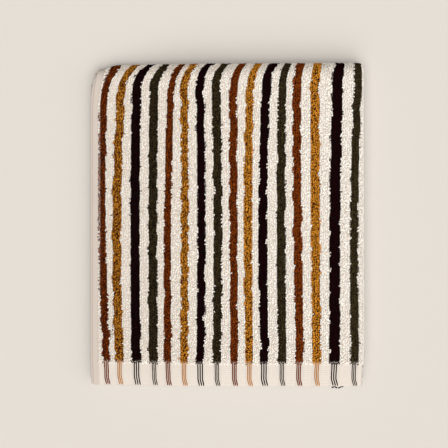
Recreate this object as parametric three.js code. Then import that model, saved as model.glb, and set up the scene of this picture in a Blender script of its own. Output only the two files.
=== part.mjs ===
// A folded terry face towel: one length of cloth with flat-woven hems and selvedges, folded once along its length
// and then in thirds across it. Millimetres, +Z up. The towel lies on Z = 0 with its origin under its middle.
// The long fold is on the right (+X), the selvedges on the left, and the visible hem at the front (-Y).
import * as THREE from "three";

// The cloth
const CLOTH_WIDTH = 500; // from selvedge to selvedge
const HEM_WIDTH = 20.5;
const SELVEDGE_WIDTH = 5;
const PILE_THICKNESS = 4; // the ground weave with its loops on both faces
const HEM_THICKNESS = 2.4; // flat weave, turned over and sewn
const SELVEDGE_THICKNESS = 2; // before the stack settles
const PILE_EDGE = 3; // over which the pile's height falls away to a hem or selvedge
const LAYER_GAP = 0.6;

// The folded towel
const FOLDED_RIGHT = 125.9; // the long fold's outer face
const FOLDED_BACK = 149; // the back fold's outer face
const HEM_FRONT = -147.5; // the visible hem's edge
const FRONT_FOLD_FRONT = -148; // the front fold's outer face, just below that hem
const INNER_HEM_BACK = 133; // the hidden end of the cloth, inside the back fold
const LONG_FOLD_AT = 248.8; // the upper half is a little narrower than the lower, so both selvedges show
const SELVEDGE_PINCH = 0.35; // share by which the two halves close up towards their selvedges
const HEM_DROOP = 2.2; // by which the visible hem sinks over the shoulder of the fold below it
const DROOP_REACH = 24;

// How it settled
const CORNER_DRAW = 12.5; // by which the back fold is drawn in to the right near its selvedge end
const CORNER_DRAW_FADE = 2; // the draw dies away across the width with this power
const CORNER_DRAW_REACH = 14; // along the cloth, at the selvedge
const INNER_DRAW_REACH = 8; // along the cloth, from DRAW_NARROWS_AT inwards
const DRAW_NARROWS_AT = 30;
const EDGE_SLACK = 0.62; // share of that draw that the selvedge itself escapes
const EDGE_SLACK_REACH = 7;
const CORNER_RECESS = 2.3; // by which the back fold falls short at its selvedge end
const RECESS_REACH = 12;
const HEM_DRAW = 0.8; // by which the flat-woven hem pulls the cloth in at each side
const HEM_DRAW_REACH = 14;
const SELVEDGE_SINK = 0.5; // share of the height that the stack loses at its thin selvedges
const SINK_REACH = 110;
const SWELL = 0.025; // share of the height in the slow rise and fall of the top
const SWELL_ACROSS = { length: 61, from: -37 };
const SWELL_ALONG = { length: 83, from: 33 };
const LOWER_SLIP = 3.2; // by which the lower layers' long fold stands out near the front
const SLIP_AT = -92;
const SLIP_REACH = 34;
const BACK_SKEW = 0.7; // by which the back fold runs out of square at each end

// A pair is the upper and lower half of the cloth, lying together after the long fold.
const HALF_SPACING = PILE_THICKNESS + LAYER_GAP;
const PAIR_THICKNESS = 2 * PILE_THICKNESS + LAYER_GAP;
const PAIR_SPACING = PAIR_THICKNESS + LAYER_GAP;
const LONG_FOLD_RADIUS = HALF_SPACING / 2;
const FRONT_FOLD_RADIUS = PAIR_SPACING / 2;
const BACK_FOLD_RADIUS = PAIR_SPACING;
const BOTTOM_PAIR_Z = PAIR_THICKNESS / 2;
const MIDDLE_PAIR_Z = BOTTOM_PAIR_Z + PAIR_SPACING;
const TOP_PAIR_Z = MIDDLE_PAIR_Z + PAIR_SPACING;
const LONG_FOLD_X = FOLDED_RIGHT - PILE_THICKNESS / 2 - LONG_FOLD_RADIUS;
const BACK_FOLD_Y = FOLDED_BACK - PAIR_THICKNESS / 2 - BACK_FOLD_RADIUS;
const FRONT_FOLD_Y = FRONT_FOLD_FRONT + PAIR_THICKNESS / 2 + FRONT_FOLD_RADIUS;

const longFoldArc = Math.PI * LONG_FOLD_RADIUS;
const upperHalf = LONG_FOLD_AT - longFoldArc / 2;
const lowerHalf = CLOTH_WIDTH - LONG_FOLD_AT - longFoldArc / 2;

const straight = (x1, y1, x2, y2) => new THREE.LineCurve(new THREE.Vector2(x1, y1), new THREE.Vector2(x2, y2));

// Half a turn, clockwise from the angle start.
const halfTurn = (x, y, radius, start) => new THREE.EllipseCurve(x, y, radius, radius, start, start - Math.PI, true);

function sectionLine(...curves) {
  const line = new THREE.CurvePath();
  for (const curve of curves) line.add(curve);
  return line;
}

// The pair's section across the cloth, from the upper selvedge round the long fold to the lower one.
const acrossLine = sectionLine(
  straight(LONG_FOLD_X - upperHalf, LONG_FOLD_RADIUS, LONG_FOLD_X, LONG_FOLD_RADIUS),
  halfTurn(LONG_FOLD_X, 0, LONG_FOLD_RADIUS, Math.PI / 2),
  straight(LONG_FOLD_X, -LONG_FOLD_RADIUS, LONG_FOLD_X - lowerHalf, -LONG_FOLD_RADIUS),
);

// The pair's section along the cloth, from the visible hem over the back, bottom and front to the inner hem.
const alongLine = sectionLine(
  new THREE.QuadraticBezierCurve(
    new THREE.Vector2(HEM_FRONT, TOP_PAIR_Z - HEM_DROOP),
    new THREE.Vector2(HEM_FRONT + DROOP_REACH / 2, TOP_PAIR_Z),
    new THREE.Vector2(HEM_FRONT + DROOP_REACH, TOP_PAIR_Z),
  ),
  straight(HEM_FRONT + DROOP_REACH, TOP_PAIR_Z, BACK_FOLD_Y, TOP_PAIR_Z),
  halfTurn(BACK_FOLD_Y, MIDDLE_PAIR_Z, BACK_FOLD_RADIUS, Math.PI / 2),
  straight(BACK_FOLD_Y, BOTTOM_PAIR_Z, FRONT_FOLD_Y, BOTTOM_PAIR_Z),
  halfTurn(FRONT_FOLD_Y, BOTTOM_PAIR_Z + FRONT_FOLD_RADIUS, FRONT_FOLD_RADIUS, -Math.PI / 2),
  straight(FRONT_FOLD_Y, MIDDLE_PAIR_Z, INNER_HEM_BACK, MIDDLE_PAIR_Z),
);

const clothLength = alongLine.getLength();
const [droop, top, backFold, bottom, frontFold, middle] = alongLine.curves.map((curve) => curve.getLength());
const backFoldMiddle = droop + top + backFold / 2;

// Each row is a section of the cloth and the steps that its mesh takes.
const ACROSS_SECTIONS = [
  { section: "upper selvedge", length: SELVEDGE_WIDTH, steps: 2 },
  { section: "upper pile edge", length: PILE_EDGE, steps: 2 },
  { section: "upper half", length: upperHalf - SELVEDGE_WIDTH - PILE_EDGE, steps: 9 },
  { section: "long fold", length: longFoldArc, steps: 8 },
  { section: "lower half", length: lowerHalf - SELVEDGE_WIDTH - PILE_EDGE, steps: 9 },
  { section: "lower pile edge", length: PILE_EDGE, steps: 2 },
  { section: "lower selvedge", length: SELVEDGE_WIDTH, steps: 2 },
];
const ALONG_SECTIONS = [
  { section: "visible hem", length: HEM_WIDTH, steps: 4 },
  { section: "visible pile edge", length: PILE_EDGE, steps: 2 },
  { section: "top", length: droop + top - HEM_WIDTH - PILE_EDGE, steps: 11 },
  { section: "back fold", length: backFold, steps: 12 },
  { section: "bottom", length: bottom, steps: 10 },
  { section: "front fold", length: frontFold, steps: 8 },
  { section: "middle", length: middle - HEM_WIDTH - PILE_EDGE, steps: 8 },
  { section: "inner pile edge", length: PILE_EDGE, steps: 2 },
  { section: "inner hem", length: HEM_WIDTH, steps: 2 },
];

// The distances along the cloth of every step, from 0.
function stations(sections) {
  const places = [0];
  for (const { length, steps } of sections) {
    const start = places.at(-1);
    for (let step = 1; step <= steps; step++) places.push(start + (length * step) / steps);
  }
  return places;
}

// From 0 to 1 as value goes from low to high, level at both ends.
const ease = (value, low, high) => THREE.MathUtils.smoothstep(value, low, high);
const bell = (value, middleAt, reach) => Math.exp(-((value - middleAt) ** 2) / (2 * reach ** 2));

function clothThickness(across, along) {
  const fromSelvedge = Math.min(across, CLOTH_WIDTH - across);
  const fromHem = Math.min(along, clothLength - along);
  const inward = ease(fromSelvedge, SELVEDGE_WIDTH, SELVEDGE_WIDTH + PILE_EDGE);
  const clear = ease(fromHem, HEM_WIDTH, HEM_WIDTH + PILE_EDGE);
  const hemOrPile = THREE.MathUtils.lerp(HEM_THICKNESS, PILE_THICKNESS, clear);
  return THREE.MathUtils.lerp(SELVEDGE_THICKNESS, hemOrPile, inward);
}

// A point at distance on a section line, with the outward normal beside it.
function onLine(line, distance) {
  const share = THREE.MathUtils.clamp(distance / line.getLength(), 0, 1);
  const tangent = line.getTangent(share);
  return { point: line.getPoint(share), normal: new THREE.Vector2(-tangent.y, tangent.x) };
}

// How far the two halves have closed up at this distance across the cloth, from 1 in the pile to less at a selvedge.
function pinch(across) {
  const fromSelvedge = Math.min(across, CLOTH_WIDTH - across);
  return 1 - SELVEDGE_PINCH * (1 - ease(fromSelvedge, 0, SELVEDGE_WIDTH + PILE_EDGE));
}

// How far the back fold is drawn to the right at this distance from the selvedge and along the cloth.
function cornerDraw(fromSelvedge, along) {
  const fade = Math.max(0, 1 - (fromSelvedge / upperHalf) ** CORNER_DRAW_FADE);
  const most = CORNER_DRAW * fade * (1 - EDGE_SLACK * bell(fromSelvedge, 0, EDGE_SLACK_REACH));
  const inner = ease(fromSelvedge, 0, DRAW_NARROWS_AT);
  return most * bell(along, backFoldMiddle, THREE.MathUtils.lerp(CORNER_DRAW_REACH, INNER_DRAW_REACH, inner));
}

// Folds the flat cloth: across and along are distances on it, and height is measured out of its outer face's side.
function fold(across, along, height) {
  const widthwise = onLine(acrossLine, across);
  const lengthwise = onLine(alongLine, along);
  const outwards = widthwise.point.y * pinch(across) + widthwise.normal.y * height;
  const x = widthwise.point.x + widthwise.normal.x * height;
  const y = lengthwise.point.x + lengthwise.normal.x * outwards;
  const fromSelvedge = Math.max(0, x - LONG_FOLD_X + upperHalf);
  const hemDraw = HEM_DRAW * (x / FOLDED_RIGHT) * bell(along, 0, HEM_DRAW_REACH);
  const recess = CORNER_RECESS * (1 - ease(fromSelvedge, SELVEDGE_WIDTH, RECESS_REACH)) * ease(y, 0, FOLDED_BACK);
  return new THREE.Vector3(
    x + cornerDraw(fromSelvedge, along) - hemDraw,
    y - recess,
    lengthwise.point.y + lengthwise.normal.y * outwards,
  );
}

// The stack's own unevenness: thinner at the selvedges, slowly rising and falling, with its lower layers slipped.
function settle(point) {
  const { x, y, z } = point;
  const level = z / (TOP_PAIR_Z + PAIR_THICKNESS / 2);
  const sink = SELVEDGE_SINK * ease(-x, FOLDED_RIGHT - SINK_REACH, FOLDED_RIGHT);
  const across = Math.sin((x - SWELL_ACROSS.from) / SWELL_ACROSS.length);
  const along = Math.cos((y - SWELL_ALONG.from) / SWELL_ALONG.length);
  const slip = LOWER_SLIP * (1 - level) * bell(y, SLIP_AT, SLIP_REACH) * ease(x, 0, FOLDED_RIGHT);
  const skew = BACK_SKEW * (x / FOLDED_RIGHT) * ease(y, 0, FOLDED_BACK);
  return point.set(x + slip, y + skew, z * (1 - sink + SWELL * across * along));
}

// The towel's mesh: a flat slab of cloth with a step at every station, whose points are then folded into place.
function foldedCloth() {
  const acrossStations = stations(ACROSS_SECTIONS);
  const alongStations = stations(ALONG_SECTIONS);
  const acrossSteps = acrossStations.length - 1;
  const alongSteps = alongStations.length - 1;
  const cloth = new THREE.BoxGeometry(1, 1, 1, acrossSteps, alongSteps, 1);
  const places = cloth.getAttribute("position");
  for (let i = 0; i < places.count; i++) {
    const across = acrossStations[Math.round((places.getX(i) + 0.5) * acrossSteps)];
    const along = alongStations[Math.round((places.getY(i) + 0.5) * alongSteps)];
    const height = places.getZ(i) * clothThickness(across, along);
    places.setXYZ(i, ...settle(fold(across, along, height)));
  }
  cloth.computeBoundingBox();
  const middleOfAll = cloth.boundingBox.getCenter(new THREE.Vector3());
  cloth.translate(-middleOfAll.x, -middleOfAll.y, 0);
  cloth.computeVertexNormals();
  return cloth;
}

const terry = new THREE.MeshStandardMaterial({ name: "terry", color: 0xe6d9cc, roughness: 0.95, metalness: 0 });

const towel = new THREE.Mesh(foldedCloth(), terry);
towel.name = "towel";

const foldedTowel = new THREE.Group();
foldedTowel.add(towel);

export default foldedTowel;
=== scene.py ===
"""A folded terry face towel on a plain pale floor.

The towel is one length of striped terry cloth, folded once along its length and then in thirds across it.
Its ground weave, hem and selvedges are one closed sheet, with real loops of yarn on it. Sizes are in
millimetres and become metres when a mesh is made. On the flat cloth, "across" runs from the visible selvedge
and "along" from the visible hem.
"""

import logging
import math
from dataclasses import dataclass, field
from enum import Enum, IntEnum
from typing import ClassVar

import bpy
import numpy as np
from bpy.types import ID, Material, Mesh, Node, NodeSocket, NodeTree, Object
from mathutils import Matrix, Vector


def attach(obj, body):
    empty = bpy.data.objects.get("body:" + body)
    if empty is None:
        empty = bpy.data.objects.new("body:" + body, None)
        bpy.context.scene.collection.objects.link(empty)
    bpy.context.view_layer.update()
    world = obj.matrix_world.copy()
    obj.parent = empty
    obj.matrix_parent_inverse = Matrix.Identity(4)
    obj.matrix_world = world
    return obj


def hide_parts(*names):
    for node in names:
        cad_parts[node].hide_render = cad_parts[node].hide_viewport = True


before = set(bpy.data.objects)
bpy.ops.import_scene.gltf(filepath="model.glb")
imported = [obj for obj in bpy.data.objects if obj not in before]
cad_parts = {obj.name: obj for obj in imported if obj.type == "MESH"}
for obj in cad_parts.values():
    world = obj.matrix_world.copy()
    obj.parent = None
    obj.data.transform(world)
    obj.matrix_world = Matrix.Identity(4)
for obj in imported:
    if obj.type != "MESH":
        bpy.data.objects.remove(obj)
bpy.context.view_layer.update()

log = logging.getLogger("towel")

Array = np.ndarray
Pair = tuple[float, float]

MM = 0.001
SEED = 20
REGION_SEED = SEED + 100
STRAY_SEED = SEED + 200
FULL_TURN = 2 * math.pi
WAVE_SPREAD = (0.6, 1.7)
LOOP_SIDES = 3
COTTON_IOR = 1.5


def linear(colour: str) -> tuple[float, float, float, float]:
    """Turns sRGB to linear light by the standard curve: a short straight part, then a power of 2.4.

    Args:
        colour: six hex digits.

    Returns:
        Red, green, blue and an alpha of 1.
    """
    parts = [int(colour[i : i + 2], 16) / 255 for i in (0, 2, 4)]
    return (*(c / 12.92 if c <= 0.04045 else ((c + 0.055) / 1.055) ** 2.4 for c in parts), 1.0)


def ease(value: Array, low: float, high: float) -> Array:
    """From 0 to 1 as value goes from low to high: 3t squared less 2t cubed, t being the share of the way."""
    share = np.clip((np.asarray(value, float) - low) / (high - low), 0, 1)
    return share * share * (3 - 2 * share)


def bell(value: Array, middle: float, reach: float) -> Array:
    """A bell of height 1: e to the minus half the square of the distance from its middle in reaches."""
    return np.exp(-((np.asarray(value, float) - middle) ** 2) / (2 * reach**2))


def waves(place: Array, length: float, seed: int, count: int = 4) -> Array:
    """A slow seeded wander between about -1 and 1: a sum of sines whose lengths spread around the given one.

    Args:
        place: where to read it, in millimetres.
        length: the usual wave length, in millimetres.
        seed: which wander it is.
        count: how many sines are summed.

    Returns:
        An array like place.
    """
    draw = np.random.default_rng(seed)
    lengths = length * draw.uniform(*WAVE_SPREAD, count)
    starts = draw.uniform(0, FULL_TURN, count)
    total = sum(np.sin(FULL_TURN * place / step + start) for step, start in zip(lengths, starts))
    return total / math.sqrt(count)


class Yarn(Enum):
    """The dyed yarns of the pile, each with the name its pieces take."""

    CREAM = "cream_pile"
    RUST = "rust_pile"
    MUSTARD = "mustard_pile"
    BLACK = "black_pile"
    GREEN = "green_pile"


class Clump(IntEnum):
    """What neighbouring loops have in common, each with its own seed after SEED."""

    REACH = 0
    LEAN_ACROSS = 1
    LEAN_ALONG = 2
    TONE = 3
    HEADING = 4
    BORDER = 5


@dataclass(frozen=True)
class Stripe:
    """One coloured stripe: its yarn, its width, and where its middle is across the flat cloth, low near the
    hem, half-way, and high near the back fold."""

    yarn: Yarn
    low: float
    halfway: float
    high: float
    width: float


@dataclass
class Fold:
    """How the flat cloth is folded and lies: the same sizes as the solid's own."""

    cloth_width: float = 500
    hem_width: float = 20.5
    selvedge_width: float = 5
    pile_thickness: float = 4
    hem_thickness: float = 2.4
    selvedge_thickness: float = 2
    pile_edge: float = 3
    seam_from_end: float = 19.6
    layer_gap: float = 0.6
    folded_right: float = 125.9
    folded_back: float = 149
    hem_front: float = -147.5
    front_fold_front: float = -148
    inner_hem_back: float = 133
    long_fold_at: float = 248.8
    selvedge_pinch: float = 0.35
    hem_droop: float = 2.2
    droop_reach: float = 24
    corner_draw: float = 12.5
    corner_draw_fade: float = 2
    corner_draw_reach: float = 14
    inner_draw_reach: float = 8
    draw_narrows_at: float = 30
    edge_slack: float = 0.62
    edge_slack_reach: float = 7
    corner_recess: float = 2.3
    recess_reach: float = 12
    hem_draw: float = 0.8
    hem_draw_reach: float = 14
    selvedge_sink: float = 0.5
    sink_reach: float = 110
    swell: float = 0.025
    swell_lengths: Pair = (61, 83)
    swell_from: Pair = (-37, 33)
    lower_slip: float = 3.2
    slip_at: float = -92
    slip_reach: float = 34
    back_skew: float = 0.7
    centring_steps: tuple[int, int] = (201, 401)

    def __post_init__(self) -> None:
        """Works out the folds' radii and places, and the lengths of the cloth's sections."""
        half_spacing = self.pile_thickness + self.layer_gap
        pair = 2 * self.pile_thickness + self.layer_gap
        spacing = pair + self.layer_gap
        self.long_radius = half_spacing / 2
        self.front_radius = spacing / 2
        self.back_radius = spacing
        self.bottom_z = pair / 2
        self.middle_z = self.bottom_z + spacing
        self.stack_height = self.middle_z + spacing + pair / 2
        self.long_x = self.folded_right - self.pile_thickness / 2 - self.long_radius
        self.back_y = self.folded_back - pair / 2 - self.back_radius
        self.front_y = self.front_fold_front + pair / 2 + self.front_radius
        self.long_arc = math.pi * self.long_radius
        self.upper_half = self.long_fold_at - self.long_arc / 2
        droop = self.droop_reach + (2 * self.hem_droop) ** 2 / (6 * self.droop_reach)
        top = self.back_y - self.hem_front - self.droop_reach
        back, front = math.pi * self.back_radius, math.pi * self.front_radius
        bottom = self.back_y - self.front_y
        middle = self.inner_hem_back - self.front_y
        self.ends = np.cumsum([droop, top, back, bottom, front, middle])
        self.cloth_length = float(self.ends[-1])
        self.back_middle = float(self.ends[1]) + back / 2
        self.centre = (0.0, 0.0)

    def widthwise(self, across: Array) -> tuple[Array, ...]:
        """The pair's section across the cloth: a straight upper half, half a turn, and a straight lower half.

        Args:
            across: distances over the flat cloth.

        Returns:
            The place to the right, the place out of the pair's middle, and the outward normal in those two.
        """
        turn = np.clip((across - self.upper_half) / self.long_radius, 0, math.pi)
        before = np.minimum(across - self.upper_half, 0)
        after = np.maximum(across - self.upper_half - self.long_arc, 0)
        right = self.long_x + before + self.long_radius * np.sin(turn) - after
        return right, self.long_radius * np.cos(turn), np.sin(turn), np.cos(turn)

    def lengthwise(self, along: Array) -> tuple[Array, ...]:
        """The pair's section along the cloth: a drooping hem, the top, the back fold, the bottom, the front
        fold and the middle. The droop is a parabola, the folds are half turns and the rest is straight.

        Args:
            along: distances along the flat cloth.

        Returns:
            The place back, the height, and the outward normal in those two.
        """
        droop, top, back, bottom, front, _ = self.ends
        share = np.clip(along / droop, 0, 1)
        slope = 2 * self.hem_droop * (1 - share) / self.droop_reach
        steep = np.hypot(1, slope)
        over = np.clip((along - top) / self.back_radius, 0, math.pi)
        under = np.clip((along - bottom) / self.front_radius, 0, math.pi)
        on_top, on_bottom = along <= back, along <= front
        y_top = self.hem_front + self.droop_reach * share + np.clip(along - droop, 0, top - droop)
        y_top = y_top + self.back_radius * np.sin(over)
        z_top = self.middle_z + self.back_radius * np.cos(over) - self.hem_droop * (1 - share) ** 2
        y_low = self.back_y - np.clip(along - back, 0, bottom - back) - self.front_radius * np.sin(under)
        z_low = self.bottom_z + self.front_radius * (1 - np.cos(under))
        y = np.where(on_top, y_top, y_low + np.maximum(along - front, 0))
        z = np.where(on_top, z_top, z_low)
        n_y = np.where(on_top, np.sin(over) - slope / steep, -np.sin(under))
        n_z = np.where(on_top, np.cos(over) / steep, np.where(on_bottom, -np.cos(under), 1.0))
        return y, z, n_y, n_z

    def from_selvedge(self, across: Array) -> Array:
        """The distance to the nearer selvedge."""
        return np.minimum(across, self.cloth_width - across)

    def from_end(self, along: Array) -> Array:
        """The distance to the nearer end of the cloth."""
        return np.minimum(along, self.cloth_length - along)

    def past_selvedge(self, across: Array) -> Array:
        """From 0 in a selvedge to 1 where the pile beside it has its full height."""
        return ease(self.from_selvedge(across), self.selvedge_width, self.selvedge_width + self.pile_edge)

    def past_hem(self, along: Array) -> Array:
        """From 0 in a hem to 1 where the pile behind it has its full height."""
        return ease(self.from_end(along), self.hem_width, self.hem_width + self.pile_edge)

    def in_pile(self, across: Array, along: Array) -> Array:
        """From 0 in a hem or selvedge to 1 where the pile has its full height."""
        return self.past_selvedge(across) * self.past_hem(along)

    def half_thickness(self, across: Array, along: Array) -> Array:
        """Half the cloth's thickness: full in the pile, less in the hems, least in the selvedges."""
        hem_or_pile = self.hem_thickness + (self.pile_thickness - self.hem_thickness) * self.past_hem(along)
        inward = self.past_selvedge(across)
        return (self.selvedge_thickness + (hem_or_pile - self.selvedge_thickness) * inward) / 2

    def drawn(self, inside: Array) -> Array:
        """How far the back fold's outermost line is drawn to the right, at distances inside the selvedge. It
        fades with a power of the distance, and slackens at the selvedge itself."""
        fade = np.maximum(0, 1 - (inside / self.upper_half) ** self.corner_draw_fade)
        return self.corner_draw * fade * (1 - self.edge_slack * bell(inside, 0, self.edge_slack_reach))

    def place(self, across: Array, along: Array, height: Array) -> Array:
        """Folds the flat cloth: the section across is carried round the section along, then settled.

        Args:
            across: distances over the flat cloth.
            along: distances along it.
            height: distances out of its middle, towards its outer face.

        Returns:
            Points in the row's frame, in millimetres, with a last axis of three.
        """
        right, out, n_right, n_out = self.widthwise(across)
        back, up, n_back, n_up = self.lengthwise(along)
        open_share = ease(self.from_selvedge(across), 0, self.selvedge_width + self.pile_edge)
        outwards = out * (1 - self.selvedge_pinch * (1 - open_share)) + n_out * height
        x = right + n_right * height
        inside = np.maximum(0, x - self.long_x + self.upper_half)
        narrowing = (self.corner_draw_reach - self.inner_draw_reach) * ease(inside, 0, self.draw_narrows_at)
        x = x + self.drawn(inside) * bell(along, self.back_middle, self.corner_draw_reach - narrowing)
        x = x - self.hem_draw * (x / self.folded_right) * bell(along, 0, self.hem_draw_reach)
        y = back + n_back * outwards
        recess = self.corner_recess * (1 - ease(inside, self.selvedge_width, self.recess_reach))
        return self.settle(x, y - recess * ease(y, 0, self.folded_back), up + n_up * outwards)

    def settle(self, x: Array, y: Array, z: Array) -> Array:
        """The stack's unevenness: low at the selvedges, slowly waved, its lower layers slipped.

        Args:
            x: places to the right.
            y: places back.
            z: heights.

        Returns:
            The settled points, moved so that the towel's box has its middle over the origin.
        """
        level = z / self.stack_height
        sink = self.selvedge_sink * ease(-x, self.folded_right - self.sink_reach, self.folded_right)
        rise = self.swell * np.sin((x - self.swell_from[0]) / self.swell_lengths[0])
        rise = rise * np.cos((y - self.swell_from[1]) / self.swell_lengths[1])
        slip = self.lower_slip * (1 - level) * bell(y, self.slip_at, self.slip_reach)
        slip = slip * ease(x, 0, self.folded_right)
        skew = self.back_skew * (x / self.folded_right) * ease(y, 0, self.folded_back)
        settled = (x + slip - self.centre[0], y + skew - self.centre[1], z * (1 - sink + rise))
        return np.stack(np.broadcast_arrays(*settled), -1)

    def centred(self) -> "Fold":
        """Moves the origin under the middle of the full-thickness cloth's box, as the solid's is.

        Returns:
            This fold.
        """
        across = np.linspace(0, self.cloth_width, self.centring_steps[0])[:, None, None]
        along = np.linspace(0, self.cloth_length, self.centring_steps[1])[None, :, None]
        half = self.half_thickness(across, along)
        points = self.place(across, along, half * np.array([-1.0, 1.0])).reshape(-1, 3)
        middle = (points.min(0) + points.max(0)) / 2
        self.centre = (float(middle[0]), float(middle[1]))
        return self


@dataclass
class StripePlan:
    """The coloured stripes over the whole width of the cloth."""

    fold: Fold
    pitch: float = 15.1
    hidden_width: float = 8.0
    wander: float = 0.4
    wander_length: float = 30
    stations: tuple[float, float, float] = (38, 160, 263)
    lower_drift: Pair = (-2.2, 0.4)
    visible: tuple[Stripe, ...] = (
        Stripe(Yarn.RUST, low=12.5, halfway=8.5, high=10, width=7),
        Stripe(Yarn.MUSTARD, low=24.5, halfway=22.5, high=26, width=8),
        Stripe(Yarn.BLACK, low=40.5, halfway=39.5, high=41, width=8.5),
        Stripe(Yarn.GREEN, low=56.5, halfway=56, high=57, width=8),
        Stripe(Yarn.RUST, low=70, halfway=70, high=72.5, width=6.5),
        Stripe(Yarn.MUSTARD, low=85, halfway=85.5, high=85, width=7),
        Stripe(Yarn.BLACK, low=100, halfway=101, high=99.5, width=7),
        Stripe(Yarn.GREEN, low=115, halfway=116, high=114.5, width=8),
        Stripe(Yarn.RUST, low=131, halfway=130, high=130, width=7),
        Stripe(Yarn.MUSTARD, low=144.5, halfway=143.5, high=145, width=7),
        Stripe(Yarn.BLACK, low=158.5, halfway=157, high=159.5, width=8),
        Stripe(Yarn.GREEN, low=174.5, halfway=173.5, high=174.5, width=7.5),
        Stripe(Yarn.RUST, low=190.5, halfway=188.5, high=188, width=7.5),
        Stripe(Yarn.MUSTARD, low=206, halfway=205, high=204.5, width=8),
        Stripe(Yarn.BLACK, low=222.5, halfway=223, high=225, width=9.5),
        Stripe(Yarn.GREEN, low=240.8, halfway=240.5, high=242.8, width=7),
    )
    stripes: list[Stripe] = field(init=False)

    def __post_init__(self) -> None:
        """Carries the repeat on over the hidden half, at the loom's even pitch."""
        self.stripes = list(self.visible)
        for number, stripe in enumerate(self.visible):
            middle = self.visible[-1].halfway + (number + 1) * self.pitch
            self.stripes.append(Stripe(stripe.yarn, middle, middle, middle, self.hidden_width))

    def middle(self, number: int, along: Array) -> Array:
        """Where a stripe's middle lies across the cloth: a parabola through its three places and a seeded
        wander. The lower layers are folded a little askew, so there it drifts along them too.

        Args:
            number: which stripe, from 0.
            along: distances along the flat cloth.

        Returns:
            Distances across, like along.
        """
        stripe = self.stripes[number]
        low, halfway, high = self.stations
        place = np.clip(along, low, self.fold.back_middle)
        near = (place - halfway) * (place - high) / ((low - halfway) * (low - high))
        mid = (place - low) * (place - high) / ((halfway - low) * (halfway - high))
        far = (place - low) * (place - halfway) / ((high - low) * (high - halfway))
        curve = near * stripe.low + mid * stripe.halfway + far * stripe.high
        drift = np.interp(along, self.fold.ends[2:], [0, *self.lower_drift, 0])
        return curve + drift + self.wander * waves(along, self.wander_length, SEED + number)

    def nearest(self, across: Array, along: Array) -> tuple[Array, Array]:
        """The nearest stripe to each point and how far outside its border the point is.

        Args:
            across: distances over the flat cloth.
            along: distances along it, of the same shape.

        Returns:
            The stripe's number, and the distance outside its border, which is negative inside it.
        """
        best = np.full(across.shape, np.inf)
        number = np.zeros(across.shape, int)
        for n, stripe in enumerate(self.stripes):
            outside = np.abs(across - self.middle(n, along)) - stripe.width / 2
            number = np.where(outside < best, n, number)
            best = np.minimum(best, outside)
        return number, best


def add_node(tree: NodeTree, kind: str, inputs: dict | None = None, **settings: object) -> Node:
    """Adds a node with its settings and links.

    Args:
        tree: the node tree it goes in.
        kind: the node's type name after "ShaderNode".
        inputs: for each input's name or number, a value or another node's output.
        **settings: the node's own properties.

    Returns:
        The new node.
    """
    node = tree.nodes.new(f"ShaderNode{kind}")
    for name, value in settings.items():
        setattr(node, name, value)
    for name, value in (inputs or {}).items():
        if isinstance(value, NodeSocket):
            tree.links.new(value, node.inputs[name])
        else:
            node.inputs[name].default_value = value
    return node


@dataclass(frozen=True)
class Surface:
    """A matte surface with a fine relief: its roughness and how strongly the relief shows."""

    name: str
    roughness: float = 0.95
    relief_strength: float = 0.6

    def start(self) -> tuple[Material, NodeTree, NodeSocket]:
        """Starts a material.

        Returns:
            An empty material that uses nodes, its tree, and the place on the object.
        """
        material = bpy.data.materials.new(self.name)
        material.use_nodes = True
        material.node_tree.nodes.clear()
        return material, material.node_tree, add_node(material.node_tree, "TexCoord").outputs["Object"]

    def stored(self, tree: NodeTree, name: str, output: str = "Fac") -> NodeSocket:
        """Reads what the mesh stores under a name."""
        return add_node(tree, "Attribute", attribute_name=name).outputs[output]

    def noise(self, tree: NodeTree, place: NodeSocket, size_mm: float, detail: float) -> NodeSocket:
        """A soft noise with grains of the given size."""
        grains = {"Vector": place, "Scale": 1 / (size_mm * MM), "Detail": detail}
        return add_node(tree, "TexNoise", grains).outputs["Fac"]

    def finish(self, tree: NodeTree, height: NodeSocket, depth_mm: float, settings: dict) -> None:
        """Joins the relief and the settings to a shader, and the shader to the material's output.

        Args:
            tree: the material's tree.
            height: the relief, from 0 to about 1.
            depth_mm: how deep it is.
            settings: the shader's inputs besides the roughness and the relief.
        """
        relief = {"Height": height, "Distance": depth_mm * MM, "Strength": self.relief_strength}
        bump = add_node(tree, "Bump", relief).outputs["Normal"]
        shader = add_node(tree, "BsdfPrincipled", {"Roughness": self.roughness, "Normal": bump, **settings})
        add_node(tree, "OutputMaterial", {"Surface": shader.outputs["BSDF"]})


@dataclass(frozen=True)
class CottonLoops(Surface):
    """Carded cotton yarn in loops: matte, each loop taking the dye and light its own way. Roots are darker
    than tips, because fibres shade each other there."""

    tip: str = ""
    root: str = ""
    gloss: float = 0.08
    down: float = 0.0
    patch_mm: float = 9.0
    patch_detail: float = 2.0
    patch_share: float = 0.3
    fibre_mm: float = 0.45
    fibre_detail: float = 3.0
    fibre_depth_mm: float = 0.06

    def material(self) -> Material:
        """Mixes root and tip colours by each loop's tone and a soft patchiness, and roughens it with fibres.

        Returns:
            The material.
        """
        material, tree, place = self.start()
        patch = self.noise(tree, place, self.patch_mm, self.patch_detail)
        spread = {0: patch, 1: self.patch_share, 2: -self.patch_share / 2}
        patchy = add_node(tree, "Math", spread, operation="MULTIPLY_ADD").outputs[0]
        tone = {0: self.stored(tree, "tone"), 1: patchy}
        share = add_node(tree, "Math", tone, operation="ADD", use_clamp=True).outputs[0]
        dye = {0: share, 6: linear(self.root), 7: linear(self.tip)}
        colour = add_node(tree, "Mix", dye, data_type="RGBA").outputs[2]
        # Single fibres are 0.02 mm, too fine to show, so they are drawn as small tufts.
        fibres = self.noise(tree, place, self.fibre_mm, self.fibre_detail)
        settings = {"Base Color": colour, "IOR": COTTON_IOR, "Specular IOR Level": self.gloss}
        self.finish(tree, fibres, self.fibre_depth_mm, {**settings, "Sheen Weight": self.down})
        return material


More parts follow.
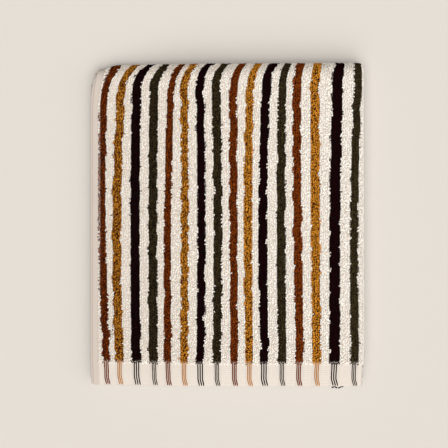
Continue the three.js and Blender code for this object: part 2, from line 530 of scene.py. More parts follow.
@dataclass(frozen=True)
class GroundWeave(Surface):
    """The cotton ground under the loops, bare in the hem and selvedges: a firm plain weave, matte, with the
    coloured warp under each stripe. Where no loops are built, packed loops are drawn as a crumbly bump."""

    name: str = "ground_weave"
    roughness: float = 0.9
    relief_strength: float = 0.8
    gloss: float = 0.1
    cream: str = "C6BCB1"
    selvedge: str = "B8ACA1"
    border_mm: float = 0.25
    thread_mm: float = 0.55
    thread_detail: float = 1.0
    thread_depth_mm: float = 0.08
    packed_mm: float = 1.6
    packed_depth_mm: float = 0.5

    def material(self) -> Material:
        """Tints the warp inside each stripe, greys the selvedge, and raises threads or packed loops.

        Returns:
            The material.
        """
        material, tree, place = self.start()
        outside = self.stored(tree, "outside_stripe")
        border = {"Value": outside, "From Min": self.border_mm, "From Max": -self.border_mm}
        tint = {0: add_node(tree, "MapRange", border).outputs["Result"], 1: self.stored(tree, "dye_share")}
        dyed = add_node(tree, "Math", tint, operation="MULTIPLY").outputs[0]
        undyed = {0: self.stored(tree, "selvedge"), 6: linear(self.cream), 7: linear(self.selvedge)}
        plain = add_node(tree, "Mix", undyed, data_type="RGBA").outputs[2]
        # The warp under each stripe takes its loops' root colour: the dye with painted shade from the loops
        # above.
        warp = {0: dyed, 6: plain, 7: self.stored(tree, "stripe_shaded_dye", "Color")}
        colour = add_node(tree, "Mix", warp, data_type="RGBA").outputs[2]
        flat = add_node(tree, "UVMap", uv_map="flat").outputs["UV"]
        # Ground threads are 0.3 mm, too fine to show, so they are drawn about twice as coarse.
        threads = self.noise(tree, flat, self.thread_mm, self.thread_detail)
        loops = {"Vector": place, "Scale": 1 / (self.packed_mm * MM)}
        crumbs = add_node(tree, "TexVoronoi", loops, feature="SMOOTH_F1").outputs["Distance"]
        deeper = {0: crumbs, 1: -self.packed_depth_mm / self.thread_depth_mm}
        crumbly = add_node(tree, "Math", deeper, operation="MULTIPLY").outputs[0]
        height = add_node(tree, "Mix", {0: self.stored(tree, "packed"), 2: threads, 3: crumbly}).outputs[0]
        settings = {"Base Color": colour, "IOR": COTTON_IOR, "Specular IOR Level": self.gloss}
        self.finish(tree, height, self.thread_depth_mm, settings)
        return material


# Each root colour is its dye darkened as painted shade; the loops mix root and tip colours by their tone.
DYES = {
    Yarn.CREAM: CottonLoops("cream_cotton_loops", tip="FFFAF1", root="D8C8B6", gloss=0.1, down=0.05),
    Yarn.RUST: CottonLoops("rust_cotton_loops", tip="8C410F", root="2C0A00", gloss=0.03),
    Yarn.MUSTARD: CottonLoops("mustard_cotton_loops", tip="E29730", root="3C1400", gloss=0.03),
    Yarn.BLACK: CottonLoops("black_cotton_loops", tip="1F0406", root="080102", gloss=0.01),
    Yarn.GREEN: CottonLoops("green_cotton_loops", tip="453923", root="100A02", gloss=0.02),
}


def add_object(name: str, data: ID) -> Object:
    """Puts a mesh, a lamp or a camera in the scene."""
    made = bpy.data.objects.new(name, data)
    bpy.context.scene.collection.objects.link(made)
    return made


def mesh_piece(
    name: str,
    points: Array,
    faces: Array,
    material: Material,
    values: dict[str, Array],
) -> Object:
    """Makes a smooth-shaded piece that rides on the root body.

    Args:
        name: the piece's name.
        points: its vertices in millimetres, one row each.
        faces: its triangles or quads, one row each.
        material: what it is made of.
        values: float attributes, one number for each vertex.

    Returns:
        The new object, at the origin.
    """
    mesh = bpy.data.meshes.new(name)
    count, sides = faces.shape
    mesh.vertices.add(len(points))
    mesh.vertices.foreach_set("co", (points * MM).astype(np.float32).ravel())
    mesh.loops.add(count * sides)
    mesh.loops.foreach_set("vertex_index", faces.astype(np.int32).ravel())
    mesh.polygons.add(count)
    mesh.polygons.foreach_set("loop_start", np.arange(0, count * sides, sides, dtype=np.int32))
    mesh.polygons.foreach_set("loop_total", np.full(count, sides, np.int32))
    mesh.polygons.foreach_set("use_smooth", np.ones(count, bool))
    for key, value in values.items():
        mesh.attributes.new(key, "FLOAT", "POINT").data.foreach_set("value", value.astype(np.float32).ravel())
    mesh.materials.append(material)
    mesh.update(calc_edges=True)
    mesh.validate()
    piece = add_object(name, mesh)
    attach(piece, "root")
    return piece


def spokes(side: Array, ahead: Array, turn: Array) -> Array:
    """Unit spokes square to paths: the side times each turn's cosine, plus the way over times its sine.

    Args:
        side: unit vectors square to the paths, of shape (paths, points or 1, 3).
        ahead: the way on along the paths, of shape (paths, points, 3).
        turn: the spokes' angles.

    Returns:
        Vectors of shape (paths, points, turns, 3).
    """
    over = np.cross(side, ahead)
    over /= np.linalg.norm(over, axis=2, keepdims=True)
    return side[:, :, None] * np.cos(turn)[:, None] + over[:, :, None] * np.sin(turn)[:, None]


def tube_faces(rings: int, sides: int) -> Array:
    """One closed tube's triangles: its wall between the rings and a fan to a tip at each end.

    Args:
        rings: how many rings it has.
        sides: the sides of each ring.

    Returns:
        Triangles, one row each; the two tips are numbered after the rings.
    """
    spots = np.arange(sides)
    after = (spots + 1) % sides
    base = np.arange(rings - 1)[:, None] * sides
    a, b = base + spots, base + after
    wall = np.stack([a, b, b + sides, a, b + sides, a + sides], -1).reshape(-1, 3)
    last = (rings - 1) * sides
    start = np.stack([after, spots, np.full(sides, rings * sides)], -1)
    end = np.stack([last + spots, last + after, np.full(sides, rings * sides + 1)], -1)
    return np.concatenate([wall, start, end])


def repeated(one: Array, points: Array, first: int = 0) -> Array:
    """One part's triangles for each of many equal parts, whose points have the shape (parts, points, 3)."""
    starts = first + np.arange(len(points)) * points.shape[1]
    return (one[None] + starts[:, None, None]).reshape(-1, 3)


def tubes(paths: Array, radius: Array, sides: int = 4) -> tuple[Array, Array]:
    """Closed tubes along paths: a ring stands square to the path at each point, and a fan closes each end.

    Args:
        paths: path points in millimetres, of shape (tubes, points, 3).
        radius: one radius for each path point, of shape (points,).
        sides: the sides of each ring.

    Returns:
        The vertices and the triangles of all the tubes.
    """
    ahead = np.gradient(paths, axis=1)
    side = np.cross(ahead, (0.0, 0.0, 1.0))
    side /= np.linalg.norm(side, axis=2, keepdims=True)
    spoke = spokes(side, ahead, FULL_TURN * np.arange(sides) / sides)
    rings = paths[:, :, None] + spoke * radius[:, None, None]
    points = np.concatenate([rings.reshape(len(paths), -1, 3), paths[:, [0, -1]]], axis=1)
    return points.reshape(-1, 3), repeated(tube_faces(paths.shape[1], sides), points)


@dataclass(frozen=True)
class PileRegion:
    """A stretch of one face that carries real loops, with their spacing and the rings in each loop."""

    across: Pair
    along: Pair
    outer: bool = True
    spacing: float = 2.0
    rings: int = 2


@dataclass
class TerryLoops:
    """The loops of the pile, built where a layer's face shows.

    Real loops stand about 1.2 mm apart. These are coarser, so that single loops still show from a metre away.
    """

    fold: Fold
    plan: StripePlan
    yarn_radius: float = 0.5
    radius_spread: Pair = (0.85, 1.12)
    reach: float = 1.25
    reach_clumps: float = 0.1
    reach_spread: float = 0.1
    foot: float = 1.7
    foot_spread: Pair = (0.75, 1.2)
    root: float = 0.5
    ring_spread: float = 1.15
    flat_side_up: float = 0.25
    row_share: float = 0.88
    off_column: float = 0.18
    off_row: float = 0.22
    samples: tuple[int, int] = (2000, 4000)
    heading: float = math.radians(50)
    heading_spread: float = math.radians(20)
    turned_past: float = 0.45
    turned_spread: float = 0.35
    lean: float = 0.4
    lean_clumps: float = 0.8
    lean_spread: float = 0.7
    hem_lean: float = 0.55
    clump_length: float = 7
    clump_sines: int = 7
    clump_spread: Pair = (0.6, 1.8)
    ragged: float = 0.5
    ragged_length: float = 7
    stray: float = 0.2
    tone: float = 0.8
    tone_spread: float = 0.22
    tone_clumps: float = 0.1
    root_tone: float = 0.12
    highest_level: float = 1.1
    # Painted light: how much lighter the loops grow across the cloth, and where that shift is nothing.
    painted_light_shift: float = 0.46
    painted_light_middle: float = 0.6
    show_past: float = 254
    band: float = 12.5
    before_long_fold: float = 2.5
    past_back_fold: float = 6
    past_front_fold: float = 4
    top_spacing: float = 1.7
    top_rings: int = 3
    fold_spacing: float = 1.8
    cream_cuts: tuple[float, ...] = (62, 124, 186)

    def regions(self) -> list[PileRegion]:
        """What shows: the top with its back fold, the front fold, the long folds, and narrow bands beside the
        selvedges, where the layers' edges show from the left."""
        fold = self.fold
        width = fold.cloth_width
        near, far = fold.selvedge_width, width - fold.selvedge_width
        start, stop = fold.hem_width, fold.cloth_length - fold.hem_width
        past_back, past_front = self.past_back_fold, self.past_front_fold
        back, bottom, front = fold.ends[2:5] + (past_back, -past_back, past_front)
        shown = (near, self.show_past)
        round_fold = (fold.upper_half - self.before_long_fold, self.show_past)
        first_band, last_band = (near, self.band), (width - self.band, far)
        return [
            PileRegion(shown, (start, back), spacing=self.top_spacing, rings=self.top_rings),
            PileRegion(shown, (bottom, front), spacing=self.fold_spacing),
            PileRegion(round_fold, (back, bottom), spacing=self.fold_spacing),
            PileRegion(round_fold, (front, stop), spacing=self.fold_spacing),
            PileRegion(first_band, (back, bottom)),
            PileRegion(first_band, (front, stop)),
            PileRegion(last_band, (start, stop)),
            PileRegion(first_band, (start, stop), outer=False),
            PileRegion(last_band, (start, stop), outer=False),
        ]

    def stretch(self, across: Array, along: Array, outer: bool = True) -> tuple[Array, Array]:
        """How much longer the outer face is than the middle of the cloth: one plus its height over the fold's
        radius, inside a fold. The inner face is taken as it is.

        Args:
            across: distances over the flat cloth.
            along: distances along it.
            outer: whether it is the outer face.

        Returns:
            The stretch across and the stretch along.
        """
        if not outer:
            return np.ones(across.shape), np.ones(along.shape)
        fold = self.fold
        height = fold.pile_thickness / 2
        _, top, back, bottom, front, _ = fold.ends
        in_long = (across > fold.upper_half) & (across < fold.upper_half + fold.long_arc)
        upper = across < fold.upper_half + fold.long_arc / 2
        out = height + fold.long_radius
        in_back = (along > top) & (along < back) & upper
        in_front = (along > bottom) & (along < front) & upper
        ways = 1 + in_long * height / fold.long_radius
        lengths = 1 + in_back * out / fold.back_radius + in_front * out / fold.front_radius
        return ways, lengths

    def scatter(self, region: PileRegion, draw: np.random.Generator) -> tuple[Array, Array]:
        """Sets the loops out in columns and rows that are even on the stretched face, each a little off.

        Args:
            region: where they stand.
            draw: the random numbers.

        Returns:
            The loops' distances across and along.
        """
        fine_across = np.linspace(*region.across, self.samples[0])
        fine_along = np.linspace(*region.along, self.samples[1])
        wide, _ = self.stretch(fine_across, np.zeros_like(fine_across), region.outer)
        _, long = self.stretch(np.zeros_like(fine_along), fine_along, region.outer)
        run_across = np.cumsum(wide) * (fine_across[1] - fine_across[0])
        run_along = np.cumsum(long) * (fine_along[1] - fine_along[0])
        columns = np.arange(region.spacing / 2, run_across[-1], region.spacing)
        row_step = region.spacing * self.row_share
        rows = np.arange(row_step / 2, run_along[-1], row_step)
        column, row = np.meshgrid(columns, rows, indexing="ij")
        row = row + row_step / 2 * (np.arange(len(columns)) % 2)[:, None]
        column = column + draw.normal(0, self.off_column, column.shape)
        row = row + draw.normal(0, self.off_row, row.shape)
        across = np.interp(column.ravel(), run_across, fine_across)
        along = np.interp(row.ravel(), run_along, fine_along)
        return across, along

    def clumps(self, across: Array, along: Array, length: float, what: Clump) -> Array:
        """A seeded field from about -1 to 1 in which neighbours are alike: a sum of slanting sines.

        Args:
            across: distances over the flat cloth.
            along: distances along it.
            length: the sines' usual length, in millimetres.
            what: what the field is for.

        Returns:
            An array like across.
        """
        draw = np.random.default_rng(SEED + what)
        total = np.zeros_like(across)
        for angle in draw.uniform(0, math.pi, self.clump_sines):
            run = across * math.cos(angle) + along * math.sin(angle)
            step = length * draw.uniform(*self.clump_spread)
            total += np.sin(FULL_TURN * (run / step + draw.random()))
        return total / math.sqrt(self.clump_sines)

    def arches(self, region: PileRegion, across: Array, along: Array, draw: np.random.Generator) -> tuple:
        """The loops' middle lines before folding. From one foot to the other a line goes sideways as a cosine,
        rises as the root of a sine and leans as a sine. It leans over the hem at the pile's end.

        Args:
            region: where the loops stand.
            across: their distances over the flat cloth.
            along: their distances along it.
            draw: the random numbers.

        Returns:
            Points of shape (loops, rings + 2, 3), the headings, the yarn's radii, and each loop's reach.
        """
        count, length, fold = len(across), self.clump_length, self.fold
        patches = self.clumps(across, along, 2 * length, Clump.HEADING)
        patches += draw.normal(0, self.turned_spread, count)
        heading = self.heading + draw.normal(0, self.heading_spread, count)
        heading = np.where(patches > self.turned_past, math.pi - heading, heading)
        foot = self.foot * draw.uniform(*self.foot_spread, count)
        alike = self.reach_clumps * self.clumps(across, along, length, Clump.REACH)
        reach = self.reach * (1 + alike + draw.normal(0, self.reach_spread, count))
        leans = []
        for way in (Clump.LEAN_ACROSS, Clump.LEAN_ALONG):
            alike = self.lean_clumps * self.clumps(across, along, length, way)
            leans.append(self.lean * (alike + draw.normal(0, self.lean_spread, count)))
        leans[1] -= self.hem_lean * (1 - ease(along, fold.hem_width, fold.hem_width + fold.pile_edge))
        share = np.linspace(0, 1, region.rings + 2)
        share[1:-1] = 0.5 + (share[1:-1] - 0.5) * self.ring_spread
        rise = np.sin(math.pi * share).clip(0)
        swing = np.cos(math.pi * share) / 2
        sideways = swing * (foot * np.cos(heading))[:, None] + rise * leans[0][:, None]
        lengthways = swing * (foot * np.sin(heading))[:, None] + rise * leans[1][:, None]
        arch = np.stack([sideways, lengthways, self.root + np.sqrt(rise) * reach[:, None]], -1)
        return arch, heading, self.yarn_radius * draw.uniform(*self.radius_spread, count), reach

    def build_region(self, region: PileRegion, seed: int) -> tuple[Array, ...]:
        """Builds every loop of a region: rings of three stand on its middle line, with a flat side up, and a
        point closes each foot. A vertex's tone grows with the square of its height. Loops that would reach
        into the floor are left out.

        Args:
            region: where they stand.
            seed: the region's random seed.

        Returns:
            The vertices of shape (loops, points, 3), their tones, and each loop's place across and along.
        """
        draw = np.random.default_rng(seed)
        across, along = self.scatter(region, draw)
        count = len(across)
        arch, heading, radius, reach = self.arches(region, across, along, draw)
        side = np.stack([-np.sin(heading), np.cos(heading), np.zeros(count)], -1)[:, None]
        turn = FULL_TURN * (np.arange(LOOP_SIDES) + self.flat_side_up) / LOOP_SIDES
        spoke = spokes(side, np.gradient(arch, axis=1), turn)
        rings = arch[:, 1:-1, None] + spoke[:, 1:-1] * radius[:, None, None, None]
        local = np.concatenate([rings.reshape(count, -1, 3), arch[:, [0, -1]]], axis=1)
        level = (local[..., 2] - self.root) / (reach + radius / 2)[:, None]
        tone = draw.normal(self.tone, self.tone_spread, count)
        tone += self.tone_clumps * self.clumps(across, along, self.clump_length, Clump.TONE)
        # Painted light: the tone rises across the cloth, so the loops grow lighter towards the long fold on
        # the right, as if lit more from there.
        tone += self.painted_light_shift * (across / self.fold.upper_half - self.painted_light_middle)
        # Painted shade: each vertex's tone falls towards the loop's root, where neighbouring loops shade it.
        lit = self.root_tone + (1 - self.root_tone) * level.clip(0, self.highest_level) ** 2
        if not region.outer:
            local = local * np.array([-1.0, 1.0, -1.0])
        wide, long = self.stretch(across, along, region.outer)
        points = self.fold.place(
            across[:, None] + local[..., 0] / wide[:, None],
            along[:, None] + local[..., 1] / long[:, None],
            local[..., 2],
        )
        clear = points[..., 2].min(axis=1) > 0
        return points[clear], (tone[:, None] * lit)[clear], across[clear], along[clear]

    def build(self, materials: dict[Yarn, Material]) -> list[Object]:
        """Builds all the loops and joins them by yarn, the cream ones in several pieces across the towel.

        Args:
            materials: each yarn's material.

        Returns:
            The pieces.
        """
        parts: dict[Yarn, list[tuple[Array, ...]]] = {yarn: [] for yarn in Yarn}
        for n, region in enumerate(self.regions()):
            points, tone, across, along = self.build_region(region, REGION_SEED + n)
            number, outside = self.plan.nearest(across, along)
            ragged = self.ragged * self.clumps(across, along, self.ragged_length, Clump.BORDER)
            ragged += np.random.default_rng(STRAY_SEED + n).normal(0, self.stray, len(across))
            dyes = np.array([list(Yarn).index(stripe.yarn) for stripe in self.plan.stripes])[number]
            dyes = np.where(outside + ragged < 0, dyes, 0)
            one = tube_faces(region.rings, LOOP_SIDES)
            for index, yarn in enumerate(Yarn):
                chosen = dyes == index
                parts[yarn].append((points[chosen], tone[chosen], one, across[chosen]))
        made = []
        for yarn, groups in parts.items():
            cuts = self.cream_cuts if yarn is Yarn.CREAM else ()
            edges = (0, *cuts, self.fold.cloth_width)
            for n, (low, high) in enumerate(zip(edges, edges[1:])):
                name = f"{yarn.value}_{n + 1}" if cuts else yarn.value
                points, faces, tones = self.joined(groups, low, high)
                made.append(mesh_piece(name, points, faces, materials[yarn], {"tone": tones}))
        return made

    def joined(self, groups: list[tuple[Array, ...]], low: float, high: float) -> tuple[Array, Array, Array]:
        """Joins the loops that stand between two distances across.

        Args:
            groups: each region's points, tones, one loop's triangles and distances across.
            low: where the piece starts across the cloth.
            high: where it ends.

        Returns:
            The vertices, the triangles and each vertex's tone.
        """
        all_points, all_faces, all_tones, total = [], [], [], 0
        for points, tone, one, across in groups:
            chosen = (across >= low) & (across < high)
            points = points[chosen]
            all_faces.append(repeated(one, points, total))
            all_points.append(points.reshape(-1, 3))
            all_tones.append(tone[chosen].ravel())
            total += len(all_points[-1])
        return np.concatenate(all_points), np.concatenate(all_faces), np.concatenate(all_tones)


@dataclass
class ClothSheet:
    """The ground weave as one closed sheet with its hems and selvedges."""

    fold: Fold
    plan: StripePlan
    loops: TerryLoops
    bare_half: float = 0.8
    packed_half: float = 1.85
    loops_border: float = 2
    selvedge_border: float = 1
    rib_pitch: float = 2.0
    rib_height: float = 0.08
    ridge_pitch: float = 1.25
    ridge_height: float = 0.12
    seam_depth: float = 0.1
    seam_reach: float = 0.5
    warp_in_hem: float = 0.06
    steps_across: tuple[int, ...] = (16, 59, 12, 30, 8)
    steps_along: tuple[int, ...] = (74, 3, 64, 20, 34, 14, 30, 3, 11)

    def stations(self) -> list[Array]:
        """The grid's distances across and along: fine where the weave is bare or folded, coarse elsewhere."""
        fold = self.fold
        _, top, back, bottom, front, end = fold.ends
        width, hem, edge = fold.cloth_width, fold.hem_width, fold.selvedge_width + fold.pile_edge
        across = (0, edge, fold.upper_half, fold.upper_half + fold.long_arc, width - edge, width)
        pile = hem + fold.pile_edge
        along = (0, hem, pile, top, back, bottom, front, end - pile, end - hem, end)
        made = []
        for starts, steps in ((across, self.steps_across), (along, self.steps_along)):
            spans = [np.linspace(a, b, n, endpoint=False) for a, b, n in zip(starts, starts[1:], steps)]
            made.append(np.append(np.concatenate(spans), starts[-1]))
        return made

    def looped(self, across: Array, along: Array, outer: bool) -> Array:
        """From 0 where a face is packed pile to 1 where it carries real loops, over a narrow border."""
        share, border = np.zeros(across.shape), self.loops_border
        for region in self.loops.regions():
            if region.outer == outer:
                inside = np.ones(across.shape)
                for place, (low, high) in ((across, region.across), (along, region.along)):
                    inside = inside * ease(place, low - border, low) * (1 - ease(place, high, high + border))
                share = np.maximum(share, inside)
        return share

    def packed(self, across: Array, along: Array, outer: bool) -> Array:
        """From 0 to 1 where a face is packed pile without loops."""
        return self.fold.in_pile(across, along) * (1 - self.looped(across, along, outer))

    def in_selvedge(self, across: Array) -> Array:
        """From 0 in the pile to 1 in the flat selvedge."""
        edge = self.fold.selvedge_width
        return 1 - ease(self.fold.from_selvedge(across), edge, edge + self.selvedge_border)

    def half(self, across: Array, along: Array, outer: bool) -> Array:
        """A face's height over the cloth's middle: the bare weave with ribs in the hem, ridges in the selvedge
        and a sunk seam, or packed pile where there are no loops.

        Args:
            across: distances over the flat cloth.
            along: distances along it.
            outer: whether it is the outer face.

        Returns:
            Heights, like across.
        """
        fold = self.fold
        pile = fold.in_pile(across, along)
        bare = fold.half_thickness(across, along) * (1 - pile) + self.bare_half * pile
        past_hem, edge = fold.past_hem(along), self.in_selvedge(across)
        ribs = self.rib_height * np.sin(FULL_TURN * along / self.rib_pitch) * (1 - past_hem)
        ridges = self.ridge_height * np.sin(FULL_TURN * across / self.ridge_pitch) * edge * past_hem
        seam = self.seam_depth * bell(fold.from_end(along), fold.seam_from_end, self.seam_reach) * (1 - edge)
        packed = self.packed(across, along, outer)
        return (bare + ribs + ridges - seam) * (1 - packed) + self.packed_half * packed

    def build(self, material: Material) -> Object:
        """Lays both faces out on the grid, folds them and joins them along the cloth's four edges.

        Args:
            material: the ground weave.

        Returns:
            The sheet, which stands for the solid.
        """
        across, along = np.meshgrid(*self.stations(), indexing="ij")
        heights = [self.half(across, along, outer=True), -self.half(across, along, outer=False)]
        points = np.concatenate([self.fold.place(across, along, height).reshape(-1, 3) for height in heights])
        index = np.arange(across.size).reshape(across.shape)
        quads = np.stack([index[:-1, :-1], index[1:, :-1], index[1:, 1:], index[:-1, 1:]], -1).reshape(-1, 4)
        under = quads[:, ::-1] + across.size
        border = np.concatenate([index[:-1, 0], index[-1, :-1], index[:0:-1, -1], index[0, :0:-1]])
        after = np.roll(border, -1)
        walls = np.stack([after, border, border + across.size, after + across.size], -1)
        faces = np.concatenate([quads, under, walls])
        number, outside = self.plan.nearest(across, along)
        values = self.values(across, along, outside)
        piece = mesh_piece("towel_cloth", points, faces, material, values)
        self.paint(piece.data, number)
        self.unfold(piece.data, across, along)
        return piece

    def values(self, across: Array, along: Array, outside: Array) -> dict[str, Array]:
        """What the ground weave's material reads at each vertex of both faces.

        Args:
            across: distances over the flat cloth.
            along: distances along it.
            outside: distances outside the nearest stripe's border.

        Returns:
            Named arrays over the outer face's vertices and then the inner face's.
        """
        share = self.warp_in_hem + (1 - self.warp_in_hem) * self.fold.in_pile(across, along)
        twice = {"outside_stripe": outside, "dye_share": share, "selvedge": self.in_selvedge(across)}
        doubled = {key: np.concatenate([value.ravel()] * 2) for key, value in twice.items()}
        packed = [self.packed(across, along, outer).ravel() for outer in (True, False)]
        return {**doubled, "packed": np.concatenate(packed)}

    def paint(self, mesh: Mesh, number: Array) -> None:
        """Stores the nearest stripe's root colour at each vertex, its dye darkened as painted shade; it
        changes half-way between two stripes.

        Args:
            mesh: the sheet's mesh.
            number: the nearest stripe of each vertex of one face.
        """
        roots = np.array([linear(DYES[stripe.yarn].root) for stripe in self.plan.stripes])
        colours = np.concatenate([roots[number.ravel()]] * 2)
        dye = mesh.attributes.new("stripe_shaded_dye", "FLOAT_COLOR", "POINT")
        dye.data.foreach_set("color", colours.astype(np.float32).ravel())

    def unfold(self, mesh: Mesh, across: Array, along: Array) -> None:
        """Gives the sheet a map of the flat cloth, in metres.

        Args:
            mesh: the sheet's mesh.
            across: each vertex's distance over the flat cloth.
            along: its distance along it.
        """
        flat = np.concatenate([np.stack([across.ravel(), along.ravel()], -1)] * 2) * MM
        corners = np.empty(len(mesh.loops), np.int32)
        mesh.loops.foreach_get("vertex_index", corners)
        layer = mesh.uv_layers.new(name="flat")
        layer.data.foreach_set("uv", flat[corners].astype(np.float32).ravel())


@dataclass(frozen=True)
class WarpLine:
    """How one yarn's lines show in the hem: how far apart they are and how thick."""

    pitch: float
    radius: float


@dataclass(frozen=True)
class LooseStrand:
    """One cut strand at the hem's edge: where it starts past its stripe's middle, its length, how far it lies
    in front of the edge at its start and end, and how far it curls to each side."""

    start: float
    length: float
    out_start: float
    out_end: float
    curl: float


@dataclass
class HemThreads:
    """The coloured warp, which shows as fine lines in the visible hem, the seam, and a loose thread end."""

    fold: Fold
    plan: StripePlan
    thread_tone: float = 0.5
    end_radius_share: float = 0.35
    taper_share: float = 0.06
    line_count: int = 3
    line_points: int = 56
    under_pile: float = 1.5
    dive: float = 0.6
    short_of_edge: float = 0.6
    lean: Pair = (1.2, 1.7)
    lean_reach: float = 8
    sway: float = 0.08
    sway_length: float = 16
    sway_sines: int = 3
    sway_seed_step: int = 7
    weave_length: float = 1.6
    weave_rise: float = 0.04
    proud: float = 0.12
    seam_radius: float = 0.2
    first_stitch: float = 7
    stitch_pitch: float = 3.0
    stitch_share: float = 0.78
    stitch_points: int = 6
    stitch_sink: float = 0.4
    stitch_rise: float = 0.32
    loose_stripe: int = 14
    strand_radius: float = 0.58
    strand_height: float = 1.1
    strand_points: int = 26
    strand_turns: float = 1.5
    strands: tuple[LooseStrand, ...] = (
        LooseStrand(start=-2, length=5.5, out_start=0.2, out_end=0.5, curl=0.5),
        LooseStrand(start=4, length=5, out_start=1.2, out_end=-0.6, curl=0.2),
    )
    lines: ClassVar[dict[Yarn, WarpLine]] = {
        Yarn.RUST: WarpLine(pitch=1.6, radius=0.55),
        Yarn.MUSTARD: WarpLine(pitch=1.5, radius=0.45),
        Yarn.BLACK: WarpLine(pitch=2.05, radius=0.56),
        Yarn.GREEN: WarpLine(pitch=1.5, radius=0.45),
    }

    def warp_lines(self, yarn: Yarn) -> Array:
        """The paths of one yarn's lines: down the hem over and under the weft, and sideways near its edge.

        Args:
            yarn: the lines' yarn.

        Returns:
            Path points in millimetres, of shape (lines, points, 3).
        """
        fold, plan = self.fold, self.plan
        along = np.linspace(fold.hem_width + self.under_pile, self.short_of_edge, self.line_points)
        pile_end = np.full_like(along, fold.hem_width + fold.pile_edge)
        dive = self.dive * ease(along, fold.hem_width, fold.hem_width + self.under_pile)
        paths = []
        for number, stripe in enumerate(plan.visible):
            if stripe.yarn is yarn:
                lean = np.interp(stripe.low, [0, fold.upper_half], self.lean)
                middle = plan.middle(number, pile_end) + lean * (1 - ease(along, 0, self.lean_reach))
                seed = SEED + self.sway_seed_step * number
                middle = middle + self.sway * waves(along, self.sway_length, seed, self.sway_sines)
                for line in np.arange(self.line_count) - (self.line_count - 1) / 2:
                    over = self.weave_rise * np.cos(FULL_TURN * (along / self.weave_length + line / 2))
                    height = fold.hem_thickness / 2 + self.proud + over - dive
                    paths.append(fold.place(middle + line * self.lines[yarn].pitch, along, height))
        return np.stack(paths)

    def stitches(self) -> Array:
        """The seam's stitches: short arches in a row across the hem.

        Returns:
            Path points in millimetres, of shape (stitches, points, 3).
        """
        starts = np.arange(self.first_stitch, self.fold.upper_half, self.stitch_pitch)[:, None]
        share = np.linspace(0, 1, self.stitch_points)
        across = starts + share * self.stitch_pitch * self.stitch_share
        along = np.full_like(across, self.fold.seam_from_end)
        height = self.fold.hem_thickness / 2 - self.stitch_sink + self.stitch_rise * np.sin(math.pi * share)
        return self.fold.place(across, along, np.broadcast_to(height, across.shape))

    def loose_end(self) -> Array:
        """The loose end's strands: cut black warp that runs to the right along the hem's edge. Each is a
        straight run with a sine of one turn and a half across it.

        Returns:
            Path points in millimetres, of shape (strands, points, 3).
        """
        share = np.linspace(0, 1, self.strand_points)
        paths = []
        for strand in self.strands:
            across = self.plan.visible[self.loose_stripe].low + strand.start + strand.length * share
            out = strand.out_start + (strand.out_end - strand.out_start) * share
            out = out + strand.curl * np.sin(self.strand_turns * FULL_TURN * share)
            path = self.fold.place(across, np.zeros_like(across), np.full_like(across, self.strand_height))
            paths.append(path - out[:, None] * np.array([0.0, 1.0, 0.0]))
        return np.stack(paths)

    def build(self, materials: dict[Yarn, Material]) -> list[Object]:
        """Builds the lines, the seam and the loose end.

        Args:
            materials: each yarn's material.

        Returns:
            The pieces.
        """
        rows = []
        for yarn, line in self.lines.items():
            rows.append((f"hem_warp_{yarn.name.lower()}", yarn, self.warp_lines(yarn), line.radius))
        rows.append(("hem_seam", Yarn.CREAM, self.stitches(), self.seam_radius))
        rows.append(("loose_thread_end", Yarn.BLACK, self.loose_end(), self.strand_radius))
        made = []
        for name, yarn, paths, radius in rows:
            ends = np.linspace(0, 1, paths.shape[1])
            full = ease(ends, 0, self.taper_share) * (1 - ease(ends, 1 - self.taper_share, 1))
            thickness = radius * (self.end_radius_share + (1 - self.end_radius_share) * full)
            points, faces = tubes(paths, thickness)
            tone = {"tone": np.full(len(points), self.thread_tone)}
            made.append(mesh_piece(name, points, faces, materials[yarn], tone))
        return made


@dataclass(frozen=True)
class PaleFloor(Surface):
    """The floor's paint, even and pale with a faint grain."""

    name: str = "pale_floor"
    roughness: float = 0.8
    relief_strength: float = 0.3
    paint: str = "BFB9B1"
    grain_mm: float = 1.5
    grain_detail: float = 2.0
    grain_depth_mm: float = 0.03

    def material(self) -> Material:
        """The material."""
        material, tree, place = self.start()
        grain = self.noise(tree, place, self.grain_mm, self.grain_detail)
        self.finish(tree, grain, self.grain_depth_mm, {"Base Color": linear(self.paint)})
        return material


@dataclass(frozen=True)
class Lamp:
    """A far soft lamp: where it shines from, how wide it looks, and its share of the floor's light."""

    name: str
    way: tuple[float, float, float]
    degrees: float
    share: float


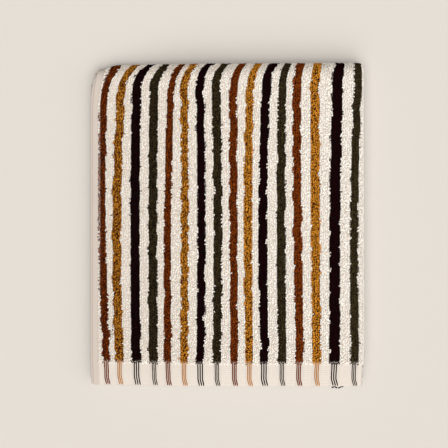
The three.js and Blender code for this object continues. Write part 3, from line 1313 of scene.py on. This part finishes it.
@dataclass
class Studio:
    """The pale floor, the soft light from above, the front and the right, and the camera straight above."""

    frame_px: float = 448
    towel_px: Pair = (226.9, 223.5)
    mm_per_px: float = 0.9245
    scale_height: float = 13.8
    lens_mm: float = 85
    sensor_mm: float = 36
    floor_half_mm: float = 3000
    floor_drop_mm: float = 0.2
    light: float = 1.48
    fill: float = 0.05
    lamps: tuple[Lamp, ...] = (
        Lamp("ceiling_lamp", way=(-0.1, -0.1, 1.0), degrees=44, share=0.52),
        Lamp("front_lamp", way=(0.1, -1.0, 1.1), degrees=48, share=0.28),
        Lamp("right_lamp", way=(1.0, -0.4, 0.85), degrees=60, share=0.15),
    )

    def add_lamp(self, lamp: Lamp) -> None:
        """Adds a far lamp that brings its share of the light to a level floor.

        Args:
            lamp: the lamp.
        """
        way = Vector(lamp.way).normalized()
        data = bpy.data.lights.new(lamp.name, "SUN")
        data.angle = math.radians(lamp.degrees)
        data.energy = self.light * lamp.share * math.pi / way.z
        light = add_object(lamp.name, data)
        light.location = way
        light.rotation_euler = (-way).to_track_quat("-Z", "Y").to_euler()

    def add_floor(self) -> None:
        """Lays a wide floor just under the towel."""
        half, level = self.floor_half_mm * MM, -self.floor_drop_mm * MM
        corners = [(half * x, half * y, level) for x, y in ((-1, -1), (1, -1), (1, 1), (-1, 1))]
        mesh = bpy.data.meshes.new("floor")
        mesh.from_pydata(corners, [], [(0, 1, 2, 3)])
        mesh.materials.append(PaleFloor().material())
        add_object("floor", mesh)

    def add_world(self) -> None:
        """Fills the shadows with even light."""
        world = bpy.data.worlds.new("soft_room")
        world.use_nodes = True
        world.node_tree.nodes.clear()
        settings = {"Color": (1.0, 1.0, 1.0, 1.0), "Strength": self.light * self.fill}
        background = add_node(world.node_tree, "Background", settings)
        add_node(world.node_tree, "OutputWorld", {"Surface": background.outputs[0]})
        bpy.context.scene.world = world

    def add_camera(self) -> None:
        """Puts the camera straight above, as high as gives the photograph's scale at the back fold."""
        data = bpy.data.cameras.new("camera")
        data.lens = self.lens_mm
        data.sensor_width = self.sensor_mm
        camera = add_object("camera", data)
        middle = (self.frame_px - 1) / 2
        x = (middle - self.towel_px[0]) * self.mm_per_px
        y = (self.towel_px[1] - middle) * self.mm_per_px
        height = self.scale_height + self.frame_px * self.mm_per_px * self.lens_mm / self.sensor_mm
        camera.location = (x * MM, y * MM, height * MM)
        bpy.context.scene.camera = camera

    def build(self) -> None:
        """Adds the floor, the room's light, the lamps and the camera."""
        self.add_floor()
        self.add_world()
        for lamp in self.lamps:
            self.add_lamp(lamp)
        self.add_camera()
        bpy.context.scene.view_settings.view_transform = "Standard"


def main() -> None:
    logging.basicConfig(level=logging.INFO, format="%(name)s: %(message)s")
    fold = Fold().centred()
    plan = StripePlan(fold)
    loops = TerryLoops(fold, plan)
    materials = {yarn: finish.material() for yarn, finish in DYES.items()}
    cloth = ClothSheet(fold, plan, loops).build(GroundWeave().material())
    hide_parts("towel")
    riders = [*loops.build(materials), *HemThreads(fold, plan).build(materials)]
    for piece in (cloth, *riders):
        triangles = sum(len(face.vertices) - 2 for face in piece.data.polygons)
        log.info("%s: %d triangles", piece.name, triangles)
    Studio().build()


if __name__ == "__main__":
    main()
